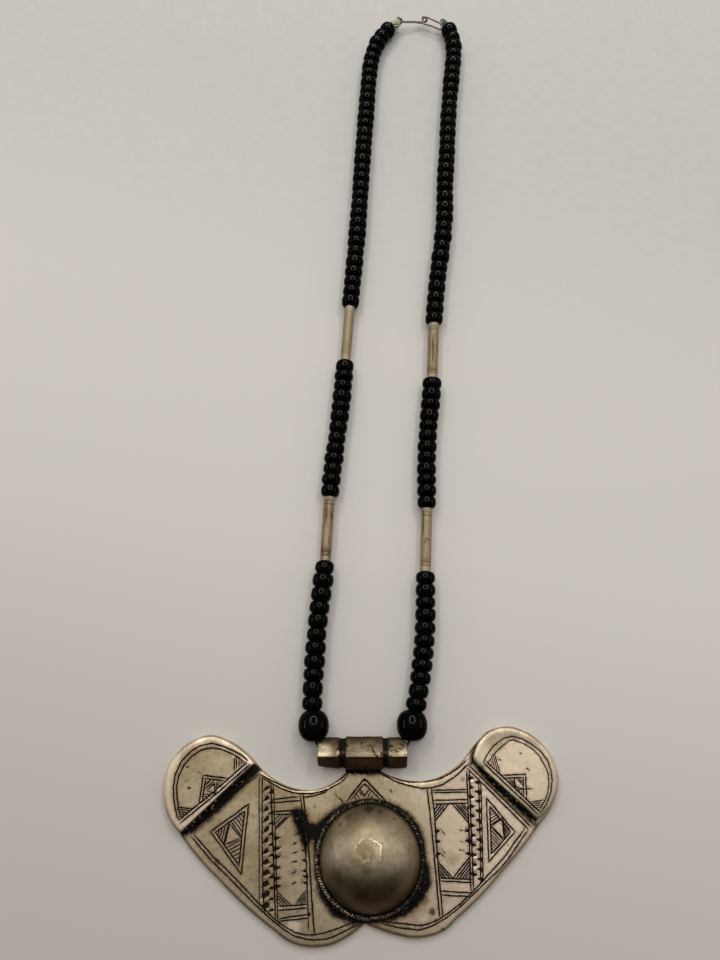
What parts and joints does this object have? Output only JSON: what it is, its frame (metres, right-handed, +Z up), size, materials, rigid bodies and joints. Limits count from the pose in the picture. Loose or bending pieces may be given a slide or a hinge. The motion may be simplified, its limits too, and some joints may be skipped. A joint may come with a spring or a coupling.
{
  "type": "beaded pendant necklace",
  "caption": "Necklace with a winged, engraved silver pendant with a domed boss, hung by a square bail on a string of black glass and silver tube beads with a hook clasp.",
  "frame": {"origin": "on the flat back of the pendant's plate, under the dome", "axes": "+Z up out of the pendant's front, +Y from the pendant towards the clasp, +X to the right seen from the front"},
  "size_m": [0.1068, 0.3027, 0.0101],
  "materials": {
    "pendant_silver": "worn low-grade silver with dark tarnish in the engraved lines",
    "tube_silver": "dull rolled silver sheet",
    "black_glass": "opaque black glass, glossy",
    "cotton_thread": "wound pale green thread",
    "clasp_wire": "dull brownish wire"
  },
  "bodies": {
    "root": {"pendant": "pendant_silver", "thread": "cotton_thread", "beads_left": "black_glass", "beads_right": "black_glass", "large_bead_left": "black_glass", "large_bead_right": "black_glass", "tube_bead_upper_left": "tube_silver", "tube_bead_upper_right": "tube_silver", "tube_bead_lower_left": "tube_silver", "tube_bead_lower_right": "tube_silver", "clasp_hook": "clasp_wire", "clasp_eye": "clasp_wire", "knot_left": "cotton_thread", "knot_right": "cotton_thread"}
  },
  "joints": []
}
